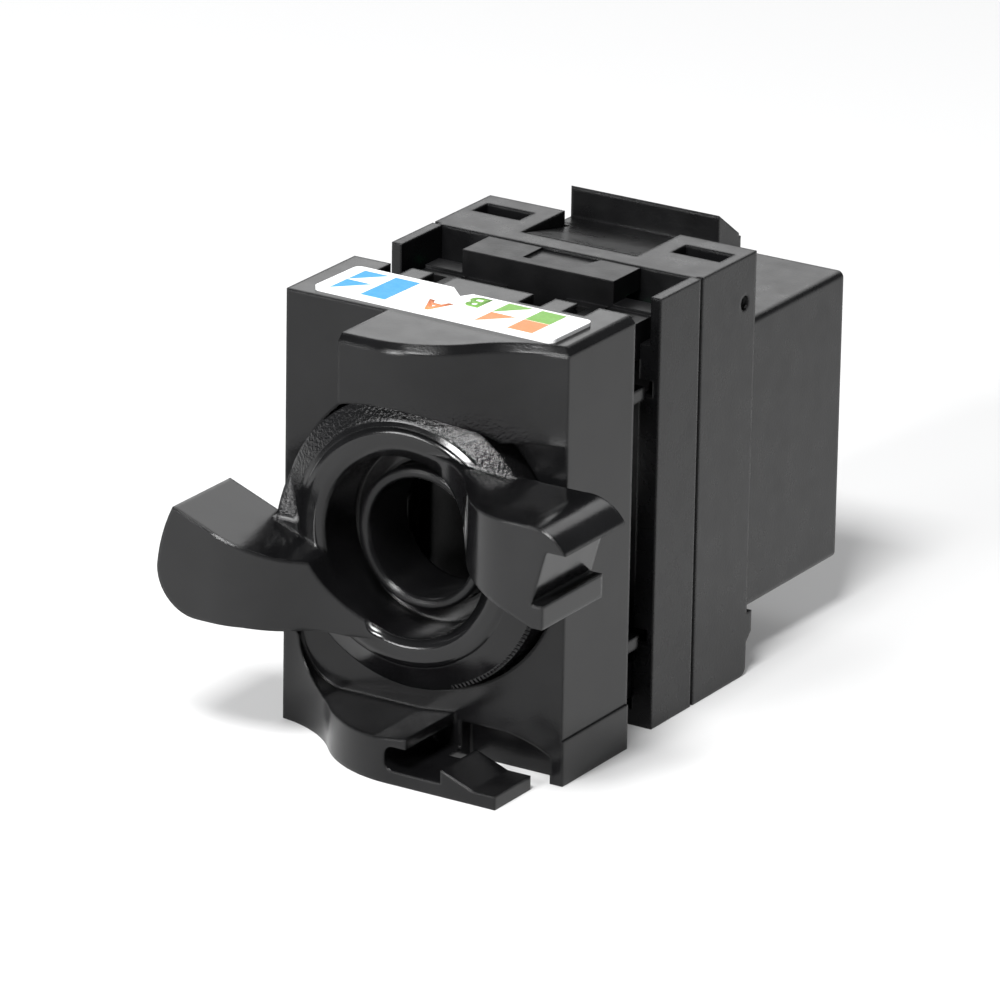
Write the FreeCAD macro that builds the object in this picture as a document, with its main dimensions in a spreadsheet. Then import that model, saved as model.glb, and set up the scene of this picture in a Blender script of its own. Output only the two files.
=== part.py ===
"""Tool-free keystone jack: a nose housing that snaps into a panel, a circuit board with spring and
cutting contacts, and a wire cap that a two-winged lever pulls onto the contacts.

Frame, in millimetres: +X to the left as seen from the cable side, +Y towards the cable, +Z up.
The origin lies in the flange's underside, so the jack stands on the plane Z = 0.
"""
import FreeCAD, Part
import os
import re
import Sketcher

os.makedirs("parts", exist_ok=True)
doc = FreeCAD.newDocument("keystone_jack")

# ---------------------------------------------------------------------------------------------
# Driving dimensions
# ---------------------------------------------------------------------------------------------

SIZES = {
    "Flange and rear shell": {
        "base_height": (23.4, "height of the flange, the shell and the wire cap"),
        "flange_side": (0.8, "flange beyond each side of the nose"),
        "shell_width": (16.2, "width of the rear shell"),
        "flange_back": (2.55, "flange's rear face behind the origin"),
        "flange_depth": (5.65, "flange along Y"),
        "shell_depth": (3.9, "rear shell behind the flange"),
        "shell_wall": (1.2, "side walls of the rear shell"),
        "shell_web": (0.9, "bar of the shell across its bottom"),
        "parting_gap": (0.25, "groove between the flange and the shell"),
        "parting_inset": (0.3, "depth of that groove"),
        "bar_depth": (1.3, "bar across the flange behind the latch recess"),
        "lug_gap": (7.0, "width of the latch recess between the two lugs"),
        "lug_pocket_width": (2.9, "pocket in the top of each lug, along X"),
        "lug_pocket_length": (1.5, "the same pocket, along Y"),
        "lug_pocket_depth": (1.1, "the same pocket, downwards"),
        "lug_pocket_edge": (0.6, "from the flange's side to the pocket"),
        "lug_pocket_front": (1.25, "from the flange's front face to the pocket"),
        "flange_round": (0.5, "rounded lower front edge of the flange"),
        "dimple_radius": (0.4, "round snap dimple in the flange's sides"),
        "dimple_depth": (0.25, "the same dimple"),
        "dimple_drop": (2.55, "from the flange's top down to it"),
        "dimple_ahead": (1.1, "from the flange's front face to it"),
        "rim_thin": (0.6, "upper end of the shell's walls, thinned inside"),
        "rim_drop": (2.6, "height of that thinned part"),
    },
    "Nose": {
        "nose_width": (14.6, "what fills the panel's opening"),
        "nose_height": (16.1, "the same, in height"),
        "nose_bottom": (3.1, "height of the nose's underside"),
        "nose_length": (10.65, "nose in front of the flange"),
        "nose_round": (0.35, "long edges of the nose"),
        "ledge_depth": (0.5, "ledge on the flange under the nose, along Y"),
        "ledge_drop": (1.3, "the same ledge, downwards"),
        "hook_width": (9.0, "fixed hook under the nose"),
        "hook_drop": (1.5, "how far that hook stands below the nose"),
        "hook_length": (2.2, "the same hook along Y"),
        "hook_gap": (2.6, "from the flange to that hook's shoulder"),
    },
    "Plug port": {
        "port_width": (11.9, "for an 11.7 mm modular plug"),
        "port_height": (6.9, "for a 6.6 mm plug body"),
        "port_rise": (4.2, "the port's floor above the nose's underside"),
        "port_depth": (11.6, "from the nose's front face"),
        "tab_width": (6.3, "groove for the plug's tab"),
        "tab_depth": (1.5, "the same groove, below the floor"),
        "key_width": (3.5, "narrow groove for the tab's root"),
        "key_depth": (2.8, "the same groove, below the floor"),
        "carrier_room": (2.7, "room above the port for the contact carrier"),
        "carrier_lip": (1.2, "front wall that hides the carrier"),
    },
    "Latch arm": {
        "latch_width": (9.0, "arm and catch in front of the flange"),
        "latch_thickness": (1.2, "thickness of the arm"),
        "latch_rise": (3.1, "level end of the arm above the nose"),
        "latch_root_drop": (0.05, "from the flange's top down to the arm's root"),
        "latch_bend": (1.3, "where the sloping arm turns level, in front of the flange"),
        "latch_tip": (4.55, "arm in front of the flange"),
        "catch_height": (1.7, "catch above the arm"),
        "catch_gap": (2.25, "from the flange to the catch's shoulder"),
        "catch_length": (2.1, "catch along Y"),
        "catch_slope": (1.5, "how far the catch's top falls towards its front"),
        "latch_gap": (0.15, "beside the arm in its recess"),
        "latch_front_gap": (0.4, "between the flange and the wide part of the arm"),
        "latch_root_gap": (0.2, "between the arm's root and the bar"),
    },
    "Circuit board and contacts": {
        "board_side_gap": (0.3, "between the board and the shell's walls"),
        "board_top": (2.0, "from the flange's top down to the board's upper edge"),
        "board_thickness": (1.2, "circuit board"),
        "board_gap": (0.1, "between the board and what holds it"),
        "spring_pitch": (1.016, "plug contacts, side to side"),
        "spring_width": (0.4, "plug contact along X"),
        "spring_thickness": (0.3, "plug contact's strip"),
        "spring_drop": (1.0, "from the carrier to the fold's middle"),
        "spring_front_gap": (0.15, "between the fold and the nose's front wall"),
        "spring_fold": (0.45, "inner radius of the fold"),
        "spring_angle": (20, "angle of the sprung end, in degrees"),
        "spring_return": (5.0, "length of the sprung end"),
        "carrier_side_gap": (0.2, "between the carrier and the port's sides"),
        "carrier_height": (1.9, "contact carrier"),
        "carrier_front_gap": (1.0, "between the carrier and the nose's front wall"),
        "comb_length": (1.5, "comb that parts the contacts, at the carrier's front"),
        "carrier_gap": (0.1, "between the carrier and the housing"),
        "contact_gap": (0.05, "between a contact and its slot"),
        "cutter_inner": (3.0, "inner cutting contacts, from the middle"),
        "cutter_outer": (5.6, "outer cutting contacts, from the middle"),
        "cutter_inset": (2.5, "rows of cutting contacts, from the jack's top and underside"),
        "cutter_width": (1.7, "cutting contact along X"),
        "cutter_thickness": (0.35, "cutting contact's blade"),
        "cutter_length": (4.5, "blade behind the board"),
        "cutter_slot": (0.35, "slot that cuts the wire's jacket"),
        "cutter_slot_depth": (2.9, "the same slot along Y"),
        "cutter_mouth": (0.95, "mouth of that slot"),
        "cutter_tail": (0.6, "tail of the contact in the board"),
    },
    "Terminal block": {
        "block_base": (1.3, "base plate of the terminal block"),
        "block_side_gap": (0.1, "between the block and the shell's walls"),
        "block_top": (1.3, "from the flange's top down to the base plate's upper edge"),
        "tower_width": (2.4, "tower round a cutting contact"),
        "tower_height": (2.0, "the same tower along Z"),
        "tower_stand": (2.8, "towers' ends behind the shell"),
        "tower_slot": (1.0, "slot for one wire in a tower"),
        "tower_slot_depth": (3.4, "the same slot along Y"),
        "lid_width": (9.1, "lid on the block's top"),
        "lid_drop": (0.05, "lid's upper face below the walls"),
        "lid_step": (0.15, "shallow step in the lid"),
        "lid_back": (2.7, "lid behind the flange"),
        "step_left": (1.34, "lid's step towards +X"),
        "step_right": (1.56, "the same step towards -X"),
        "step_back": (2.0, "the same step behind the flange"),
        "step_slant": (0.7, "slant of the step's end"),
    },
    "Wire cap": {
        "cap_width": (16.92, "wire cap"),
        "cap_depth": (6.32, "wire cap along Y, without its blocks"),
        "cap_travel": (2.8, "how far the cap slides to the shell"),
        "cap_play": (0.18, "left between the cap and the shell when closed"),
        "cap_wall": (1.2, "outer walls of the cap"),
        "cap_floor": (1.0, "floor of the lever's seat"),
        "cap_chamfer": (0.38, "rear edges of the cap's -X end and of the upper block"),
        "side_step": (0.08, "how far the foot of the cap's -X side stands out"),
        "side_step_top": (2.45, "height of that foot"),
        "wire_slot_width": (1.3, "wire slot in the cap's walls"),
        "wire_slot_depth": (1.5, "the same slot along Y"),
        "peg_size": (0.7, "guide pegs beside the shell's walls"),
        "peg_length": (2.4, "guide pegs along Y"),
        "peg_rise": (6.75, "guide pegs above and below the middle"),
        "peg_gap": (0.1, "between a peg and its groove"),
    },
    "Cable guide and lever seat": {
        "bore_radius": (3.19, "cable bore"),
        "guide_wall": (0.6, "wall of the cable guide round the bore"),
        "guide_stand": (0.4, "guide's rim behind the cap's rear face"),
        "rim_round": (0.25, "rounded rim of the guide"),
        "seat_radius": (8.0, "recess that holds the lever"),
        "seat_depth": (2.35, "the same recess"),
        "swing_radius": (8.35, "round pocket in the upper block"),
        "pocket_left": (5.06, "flat floor of the lower block's pocket, towards +X"),
        "pocket_floor": (2.36, "height of that floor"),
        "pocket_end": (2.62, "height of its other end"),
        "pocket_round": (3.0, "round from the floor to the pocket's side"),
        "pocket_side": (7.4, "side of the pocket"),
        "pocket_top": (4.9, "height where that side ends"),
    },
    "Blocks on the rear face": {
        "ramp_rise": (4.6, "how far the blocks stand out"),
        "ramp_run": (10.0, "length of the S-shaped ramp"),
        "ramp_lead": (0.75, "where the ramp would start, beyond the cap's side"),
        "block_end": (2.36, "flat end of the block, past the middle"),
        "block_low": (6.5, "underside of the upper block, above the axis"),
        "slot_floor": (0.75, "floor of the lock slot, above the base"),
        "slot_left": (1.94, "near wall of the slot's neck"),
        "slot_right": (4.04, "far wall of the slot's neck"),
        "undercut": (1.3, "how far the slot runs back under its near wall"),
        "undercut_top": (2.05, "upper side of that undercut"),
        "undercut_round": (0.55, "rounded end of that undercut"),
        "tooth_top": (1.45, "point of the tooth that holds the lever"),
        "tooth_run": (1.9, "sloped back of the tooth"),
        "strip_end": (7.3, "end of the finger that carries the tooth"),
        "finger_depth": (3.4, "sprung finger along Y"),
        "recess_depth": (1.0, "recess in the cap behind the finger"),
        "recess_height": (2.25, "the same recess"),
        "recess_low": (1.4, "its height at the end"),
        "recess_side": (7.7, "its end, from the middle"),
        "recess_bend": (4.95, "where its upper edge starts to fall"),
    },
    "Lever": {
        "ring_radius": (6.3, "ring of the lever"),
        "ring_inner": (4.85, "open middle of the ring"),
        "ring_stand": (1.9, "ring's face behind the cap's rear face"),
        "hub_gap": (0.05, "running clearance on the cable guide"),
        "rim_gap": (0.1, "running clearance in the seat"),
        "seat_gap": (0.1, "between the lever and the seat's floor"),
        "rim_depth": (1.1, "flange of the lever inside the seat"),
        "collar_radius": (7.75, "textured collar round the ring"),
        "collar_stand": (1.15, "collar's edge behind the cap's rear face"),
        "ramp_flat": (6.4, "where the flat ramps beside the wings start, from the axis"),
        "ramp_low": (2.6, "where they reach the collar's edge, above the axis"),
        "wing_stand": (6.2, "wings' front face behind the cap's rear face"),
        "wing_reach": (12.15, "tip of a wing, from the axis"),
        "wing_top": (1.2, "leading corner of the left wing, above the axis"),
        "wing_corner": (11.2, "the same corner, from the axis"),
        "wing_bulge": (9.0, "radius of a wing's end"),
        "wing_waist": (1.3, "leading edge at the ring's mouth, below the axis"),
        "wing_under": (4.6, "straight trailing edge, below the axis"),
        "wing_under_root": (5.3, "trailing edge at the ring, below the axis"),
        "wing_tip_round": (2.45, "rounded trailing corner of a wing"),
        "grip_clear": (0.95, "between the left wing and the cap"),
        "hook_clear": (0.5, "between the right wing and the cap"),
        "sweep_start": (1.2, "where a wing starts to rise from the ring"),
        "sweep_end": (8.8, "where it reaches its full height"),
        "jaw_top": (3.4, "upper side of the hook's jaw, above the axis"),
        "jaw_bottom": (0.5, "lower side of the jaw"),
        "jaw_root": (10.2, "bottom of the jaw, from the axis"),
        "jaw_root_top": (11.0, "the same at the jaw's upper side"),
        "lip_reach": (10.86, "end of the hook's lip, from the axis"),
        "lip_under": (0.75, "underside of the lip, below the axis"),
    },
    "Label": {
        "label_thickness": (0.2, "printed label"),
        "label_left": (7.0, "label's end at +X, from the middle"),
        "label_right": (7.4, "its end at -X, from the middle"),
        "label_length": (3.0, "label along Y"),
        "label_long": (1.0, "extra length of its left part"),
        "label_step": (7.6, "width of that left part"),
        "label_inset": (0.4, "from the cap's rear edge"),
    },
}

sheet = doc.addObject("Spreadsheet::Sheet", "dims")
row = 1
for group, values in SIZES.items():
    sheet.set(f"A{row}", group)
    row += 1
    for name, (size, meaning) in values.items():
        sheet.set(f"A{row}", name)
        sheet.set(f"B{row}", str(size))
        sheet.setAlias(f"B{row}", name)
        sheet.set(f"C{row}", meaning)
        row += 1
doc.recompute()

ALIASES = [name for values in SIZES.values() for name in values]
ALIAS = re.compile(r"\b(" + "|".join(ALIASES) + r")\b")

# Places that several pieces share, as formulas of the driving dimensions.
FLANGE_REAR = "flange_back"
FLANGE_FRONT = "(flange_back - flange_depth)"
SHELL_REAR = "(flange_back + shell_depth)"
CAP_FRONT = f"({SHELL_REAR} + cap_travel + cap_play)"
CAP_REAR = f"({CAP_FRONT} + cap_depth)"
SEAT_FLOOR = f"({CAP_REAR} - seat_depth)"
AXIS_Z = "(base_height / 2)"
NOSE_FRONT = "(flange_back - flange_depth - nose_length)"
NOSE_TOP = "(nose_bottom + nose_height)"
NOSE_WALL = f"({NOSE_FRONT} + carrier_lip)"
PORT_FLOOR = "(nose_bottom + port_rise)"
PORT_TOP = f"({PORT_FLOOR} + port_height)"
LATCH_TOP = f"({NOSE_TOP} + latch_rise)"
FLANGE_SIDE = "(nose_width / 2 + flange_side)"
SHELL_INNER = "(shell_width / 2 - shell_wall)"
BOARD_LOW = "(shell_web + board_gap)"
BOARD_HIGH = "(base_height - board_top)"
BOARD_REAR = "(flange_back + board_gap + board_thickness)"
BLOCK_FRONT = f"({BOARD_REAR} + board_gap)"
BLOCK_REAR = f"({BLOCK_FRONT} + block_base)"
TOWER_END = f"({SHELL_REAR} + tower_stand)"
GUIDE_RADIUS = "(bore_radius + guide_wall)"
RAMP_RADIUS = "((ramp_run ^ 2 + ramp_rise ^ 2) / (4 * ramp_rise))"


def formula(text):
    """A formula of dimension names, as the expression engine wants it."""
    return ALIAS.sub(r"dims.\1", text)


def number(text):
    """The present value of a formula."""
    value = sheet.evalExpression(formula(text))
    return float(getattr(value, "Value", value))


# ---------------------------------------------------------------------------------------------
# Modelling helpers
# ---------------------------------------------------------------------------------------------

def new_body(label):
    body = doc.addObject("PartDesign::Body", label)
    body.Label = label
    return body


def new_sketch(body, name, role, offset):
    """A sketch on one of the body's own origin planes, moved along the plane's normal."""
    plane = next(item for item in body.Origin.OriginFeatures if item.Role == role)
    sketch = body.newObject("Sketcher::SketchObject", name)
    sketch.AttachmentSupport = [(plane, "")]
    sketch.MapMode = "FlatFace"
    sketch.setExpression("AttachmentOffset.Base.z", formula(offset))
    return sketch


def pin_point(sketch, curve, end, x, y):
    """Holds one end of a curve at a place given by two formulas."""
    for kind, text in (("DistanceX", x), ("DistanceY", y)):
        index = sketch.addConstraint(Sketcher.Constraint(kind, -1, 1, curve, end, number(text)))
        sketch.setExpression(f"Constraints[{index}]", formula(text))


def set_radius(sketch, curve, text):
    index = sketch.addConstraint(Sketcher.Constraint("Radius", curve, number(text)))
    sketch.setExpression(f"Constraints[{index}]", formula(text))


def arc_between(start, end, radius, turn):
    """The shorter arc between two points; turn is +1 with its centre left of the way, else -1."""
    chord = end - start
    rise = (radius ** 2 - (chord.Length / 2) ** 2) ** 0.5
    side = FreeCAD.Vector(-chord.y, chord.x, 0).normalize()
    centre = (start + end) * 0.5 + side * rise * turn
    middle = centre - side * radius * turn
    return Part.Arc(start, middle, end), centre


def draw(sketch, path):
    """A closed outline. Each corner is (x, y), or (x, y, radius, turn) at the end of an arc."""
    corners = [FreeCAD.Vector(number(item[0]), number(item[1]), 0) for item in path]
    first = sketch.GeometryCount
    ends = []
    for index, item in enumerate(path):
        start, end = corners[index - 1], corners[index]
        if len(item) == 2:
            curve = sketch.addGeometry(Part.LineSegment(start, end), False)
            ends.append((curve, 1, 2))
        else:
            arc, _ = arc_between(start, end, number(item[2]), item[3])
            curve = sketch.addGeometry(arc, False)
            ends.append((curve, 1, 2) if item[3] > 0 else (curve, 2, 1))
            set_radius(sketch, curve, item[2])
    for index, item in enumerate(path):
        curve, _, end = ends[index]
        following, start, _ = ends[(index + 1) % len(path)]
        sketch.addConstraint(Sketcher.Constraint("Coincident", curve, end, following, start))
        pin_point(sketch, curve, end, item[0], item[1])
    return first


def draw_box(sketch, x0, x1, y0, y1):
    return draw(sketch, [(x0, y0), (x1, y0), (x1, y1), (x0, y1)])


def draw_circle(sketch, x, y, radius):
    centre = FreeCAD.Vector(number(x), number(y), 0)
    circle = Part.Circle(centre, FreeCAD.Vector(0, 0, 1), number(radius))
    curve = sketch.addGeometry(circle, False)
    pin_point(sketch, curve, 3, x, y)
    set_radius(sketch, curve, radius)


def pad(body, sketch, length, reverse=False):
    feature = body.newObject("PartDesign::Pad", sketch.Name + "_pad")
    feature.Profile = sketch
    feature.setExpression("Length", formula(length))
    feature.Reversed = reverse
    sketch.Visibility = False
    return feature


def pocket(body, sketch, length, reverse=False):
    feature = body.newObject("PartDesign::Pocket", sketch.Name + "_pocket")
    feature.Profile = sketch
    feature.setExpression("Length", formula(length))
    feature.Reversed = reverse
    sketch.Visibility = False
    return feature


def pocket_both_ways(body, sketch, length):
    """A pocket that runs half its length to each side of its sketch."""
    feature = pocket(body, sketch, length)
    feature.Midplane = True
    return feature


def edges_of(body, wanted):
    """Names of the body's edges whose ends and middle all pass a test."""
    doc.recompute()
    names = []
    for index, edge in enumerate(body.Tip.Shape.Edges, 1):
        middle = edge.valueAt((edge.FirstParameter + edge.LastParameter) / 2)
        if all(wanted(point) for point in [v.Point for v in edge.Vertexes] + [middle]):
            names.append(f"Edge{index}")
    return names


def dress(body, kind, name, edges, size_property, size):
    """A fillet or chamfer on named edges of the body's last feature."""
    base = body.Tip
    feature = body.newObject("PartDesign::" + kind, name)
    feature.Base = (base, edges)
    feature.setExpression(size_property, formula(size))
    return feature


def near(value, text, slack=0.01):
    return abs(value - number(text)) < slack


# ---------------------------------------------------------------------------------------------
# Nose housing: flange, nose, plug port and the fixed hook, moulded in one piece
# ---------------------------------------------------------------------------------------------

def make_nose_housing():
    body = new_body("nose_housing")
    half = FLANGE_SIDE

    frame = new_sketch(body, "flange_outline", "XZ_Plane", f"-{FLANGE_REAR}")
    draw_box(frame, f"-{half}", half, "0", "base_height")
    pad(body, frame, "flange_depth")

    nose = new_sketch(body, "nose_outline", "XZ_Plane", f"-{FLANGE_FRONT}")
    draw_box(nose, "-nose_width / 2", "nose_width / 2", "nose_bottom", NOSE_TOP)
    pad(body, nose, "nose_length")

    ledge = new_sketch(body, "ledge_profile", "YZ_Plane", f"-{half}")
    draw(ledge, [(f"{FLANGE_FRONT} + 0.2", "nose_bottom + nose_round"),
                 (f"{FLANGE_FRONT} - ledge_depth", "nose_bottom + nose_round"),
                 (f"{FLANGE_FRONT} - ledge_depth", "nose_bottom - ledge_drop + ledge_depth"),
                 (FLANGE_FRONT, "nose_bottom - ledge_drop"),
                 (f"{FLANGE_FRONT} + 0.2", "nose_bottom - ledge_drop")])
    pad(body, ledge, f"2 * {FLANGE_SIDE}")

    hook = new_sketch(body, "hook_profile", "YZ_Plane", "-hook_width / 2")
    shoulder = f"({FLANGE_FRONT} - hook_gap)"
    draw(hook, [(shoulder, "nose_bottom + 0.2"),
                (f"{shoulder} - hook_length", "nose_bottom + 0.2"),
                (f"{shoulder} - hook_length", "nose_bottom - 0.2"),
                (f"{shoulder} - hook_length / 3", "nose_bottom - hook_drop"),
                (shoulder, "nose_bottom - hook_drop")])
    pad(body, hook, "hook_width")

    # Recess between the lugs for the latch arm, down to the nose's upper face.
    recess = new_sketch(body, "latch_recess", "XY_Plane", "base_height")
    draw_box(recess, "-lug_gap / 2", "lug_gap / 2", FLANGE_FRONT, f"{FLANGE_REAR} - bar_depth")
    pocket(body, recess, f"base_height - {NOSE_TOP}")

    pockets = new_sketch(body, "lug_pockets", "XY_Plane", "base_height")
    front = f"({FLANGE_FRONT} + lug_pocket_front)"
    outer = f"({half} - lug_pocket_edge)"
    for sign in ("", "-"):
        draw_box(pockets, f"{sign}({outer} - lug_pocket_width)", f"{sign}{outer}",
                 front, f"{front} + lug_pocket_length")
    pocket(body, pockets, "lug_pocket_depth")

    # The port, stepped for the plug's tab, and the room for the contact carrier above it.
    port = new_sketch(body, "port_outline", "XZ_Plane", f"-{NOSE_FRONT}")
    draw(port, [("-port_width / 2", PORT_FLOOR),
                ("-tab_width / 2", PORT_FLOOR),
                ("-tab_width / 2", f"{PORT_FLOOR} - tab_depth"),
                ("-key_width / 2", f"{PORT_FLOOR} - tab_depth"),
                ("-key_width / 2", f"{PORT_FLOOR} - key_depth"),
                ("key_width / 2", f"{PORT_FLOOR} - key_depth"),
                ("key_width / 2", f"{PORT_FLOOR} - tab_depth"),
                ("tab_width / 2", f"{PORT_FLOOR} - tab_depth"),
                ("tab_width / 2", PORT_FLOOR),
                ("port_width / 2", PORT_FLOOR),
                ("port_width / 2", PORT_TOP),
                ("-port_width / 2", PORT_TOP)])
    pocket(body, port, "port_depth")

    room = new_sketch(body, "carrier_room_outline", "XZ_Plane", f"-{FLANGE_REAR}")
    draw_box(room, "-port_width / 2", "port_width / 2",
             f"{PORT_TOP} - spring_drop", f"{PORT_TOP} + carrier_room")
    pocket(body, room, "flange_depth + nose_length - carrier_lip", reverse=True)

    # A shallow groove along both sides where the rear shell meets the flange.
    groove = new_sketch(body, "parting_groove", "XY_Plane", "0")
    for sign in ("", "-"):
        draw_box(groove, f"{sign}({half} - parting_inset)", f"{sign}({half} + 1)",
                 f"{FLANGE_REAR} - parting_gap", f"{FLANGE_REAR} + 1")
    pocket(body, groove, "base_height", reverse=True)

    half_nose = number("nose_width / 2")
    long_edges = edges_of(body, lambda p: abs(abs(p.x) - half_nose) < 0.01
                          and (near(p.z, "nose_bottom") or near(p.z, NOSE_TOP))
                          and p.y < number(FLANGE_FRONT) + 0.01)
    dress(body, "Fillet", "nose_edges", long_edges, "Radius", "nose_round")
    low_edge = edges_of(body, lambda p: near(p.z, "0") and near(p.y, FLANGE_FRONT))
    dress(body, "Fillet", "flange_edge", low_edge, "Radius", "flange_round")

    for sign, name in ((1, "left_dimple"), (-1, "right_dimple")):
        dimple = new_sketch(body, name, "YZ_Plane", f"{sign} * {half}")
        draw_circle(dimple, f"{FLANGE_FRONT} + dimple_ahead", "base_height - dimple_drop", "dimple_radius")
        pocket(body, dimple, "dimple_depth", reverse=sign < 0)
    return body


# ---------------------------------------------------------------------------------------------
# Latch arm: a sprung tongue over the nose with the catch on it
# ---------------------------------------------------------------------------------------------

def make_latch_arm():
    body = new_body("latch_arm")
    root = f"({FLANGE_REAR} - bar_depth - latch_root_gap)"
    tip = f"({FLANGE_FRONT} - latch_tip)"
    bend = f"({FLANGE_FRONT} - latch_bend)"
    shoulder = f"({FLANGE_FRONT} - catch_gap)"
    root_top = "(base_height - latch_root_drop)"

    profile = new_sketch(body, "arm_profile", "YZ_Plane", "-latch_width / 2")
    draw(profile, [(root, f"{root_top} - latch_thickness"),
                   (root, root_top),
                   (bend, LATCH_TOP),
                   (shoulder, LATCH_TOP),
                   (shoulder, f"{LATCH_TOP} + catch_height"),
                   (f"{shoulder} - catch_length", f"{LATCH_TOP} + catch_height - catch_slope"),
                   (f"{shoulder} - catch_length", LATCH_TOP),
                   (tip, LATCH_TOP),
                   (tip, f"{LATCH_TOP} - latch_thickness"),
                   (bend, f"{LATCH_TOP} - latch_thickness")])
    pad(body, profile, "latch_width")

    # Inside the flange the arm is narrower, to pass between the lugs.
    waist = new_sketch(body, "arm_waist", "XY_Plane", "base_height")
    for sign in ("", "-"):
        draw_box(waist, f"{sign}(lug_gap / 2 - latch_gap)", f"{sign}(latch_width / 2 + 1)",
                 f"{FLANGE_FRONT} - latch_front_gap", f"{root} + 1")
    pocket(body, waist, "base_height")
    return body


# ---------------------------------------------------------------------------------------------
# Rear shell: two walls and a bar that hold the board and the terminal block
# ---------------------------------------------------------------------------------------------

def make_rear_shell():
    body = new_body("rear_shell")
    half = "shell_width / 2"
    inner = SHELL_INNER

    walls = new_sketch(body, "shell_outline", "XZ_Plane", f"-{SHELL_REAR}")
    draw(walls, [(f"-{half}", "0"), (half, "0"), (half, "base_height"),
                 (inner, "base_height"), (inner, "shell_web"),
                 (f"-{inner}", "shell_web"), (f"-{inner}", "base_height"),
                 (f"-{half}", "base_height")])
    pad(body, walls, "shell_depth")

    grooves = new_sketch(body, "peg_grooves", "XZ_Plane", f"-{SHELL_REAR}")
    reach = f"({inner} + peg_size + peg_gap)"
    for side in ("", "-"):
        for row_sign in ("+", "-"):
            middle = f"({AXIS_Z} {row_sign} peg_rise)"
            draw_box(grooves, f"{side}({inner} - 0.2)", f"{side}{reach}",
                     f"{middle} - peg_size / 2 - peg_gap", f"{middle} + peg_size / 2 + peg_gap")
    pocket(body, grooves, "cap_travel + 0.2", reverse=True)

    rims = new_sketch(body, "thinned_rims", "XZ_Plane", f"-{SHELL_REAR}")
    for side in ("", "-"):
        draw_box(rims, f"{side}({inner} - 0.2)", f"{side}({half} - rim_thin)",
                 "base_height - rim_drop", "base_height + 1")
    pocket(body, rims, "shell_depth", reverse=True)
    return body


# ---------------------------------------------------------------------------------------------
# Circuit board
# ---------------------------------------------------------------------------------------------

def cutter_places():
    """The eight cutting contacts: the formulas of their X and Z, row by row."""
    columns = ("-cutter_outer", "-cutter_inner", "cutter_inner", "cutter_outer")
    return [(x, z) for z in ("(base_height - cutter_inset)", "cutter_inset") for x in columns]


def spring_places():
    """The eight plug contacts, side by side."""
    return [f"({index - 3.5}) * spring_pitch" for index in range(8)]


def spring_row_z():
    """Height of a plug contact's straight part: its upper face lies under the carrier."""
    return f"({PORT_TOP} + carrier_room - carrier_gap - carrier_height - contact_gap)"


def make_circuit_board():
    body = new_body("circuit_board")
    board = new_sketch(body, "board_outline", "XZ_Plane", f"-{BOARD_REAR}")
    half = f"({SHELL_INNER} - board_side_gap)"
    draw_box(board, f"-{half}", half, BOARD_LOW, BOARD_HIGH)
    pad(body, board, "board_thickness")

    holes = new_sketch(body, "board_holes", "XZ_Plane", f"-{BOARD_REAR}")
    for x, z in cutter_places():
        draw_box(holes, f"{x} - cutter_tail / 2 - contact_gap", f"{x} + cutter_tail / 2 + contact_gap",
                 f"{z} - cutter_thickness / 2 - contact_gap",
                 f"{z} + cutter_thickness / 2 + contact_gap")
    top = spring_row_z()
    for x in spring_places():
        draw_box(holes, f"{x} - spring_width / 2 - contact_gap", f"{x} + spring_width / 2 + contact_gap",
                 f"{top} - spring_thickness - contact_gap", f"{top} + contact_gap")
    pocket(body, holes, "board_thickness + 1", reverse=True)
    return body


# ---------------------------------------------------------------------------------------------
# Contacts
# ---------------------------------------------------------------------------------------------

def make_cutting_contact(label, x, z):
    """A forked blade: its slot faces the cap and cuts through a wire's jacket."""
    body = new_body(label)
    start = f"({FLANGE_REAR} + board_gap)"
    root = f"({BOARD_REAR} + board_gap / 2)"
    end = f"({BOARD_REAR} + cutter_length)"
    wide = "cutter_width / 2"
    blade = new_sketch(body, label + "_outline", "XY_Plane", f"{z} - cutter_thickness / 2")
    draw(blade, [(f"{x} - cutter_tail / 2", start), (f"{x} + cutter_tail / 2", start),
                 (f"{x} + cutter_tail / 2", root), (f"{x} + {wide}", root),
                 (f"{x} + {wide}", f"{end} - 0.5"), (f"{x} + {wide} - 0.2", end),
                 (f"{x} + cutter_mouth / 2", end),
                 (f"{x} + cutter_slot / 2", f"{end} - cutter_mouth"),
                 (f"{x} + cutter_slot / 2", f"{end} - cutter_slot_depth"),
                 (f"{x} - cutter_slot / 2", f"{end} - cutter_slot_depth"),
                 (f"{x} - cutter_slot / 2", f"{end} - cutter_mouth"),
                 (f"{x} - cutter_mouth / 2", end), (f"{x} - {wide} + 0.2", end),
                 (f"{x} - {wide}", f"{end} - 0.5"), (f"{x} - {wide}", root),
                 (f"{x} - cutter_tail / 2", root)])
    pad(body, blade, "cutter_thickness")
    return body


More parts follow.
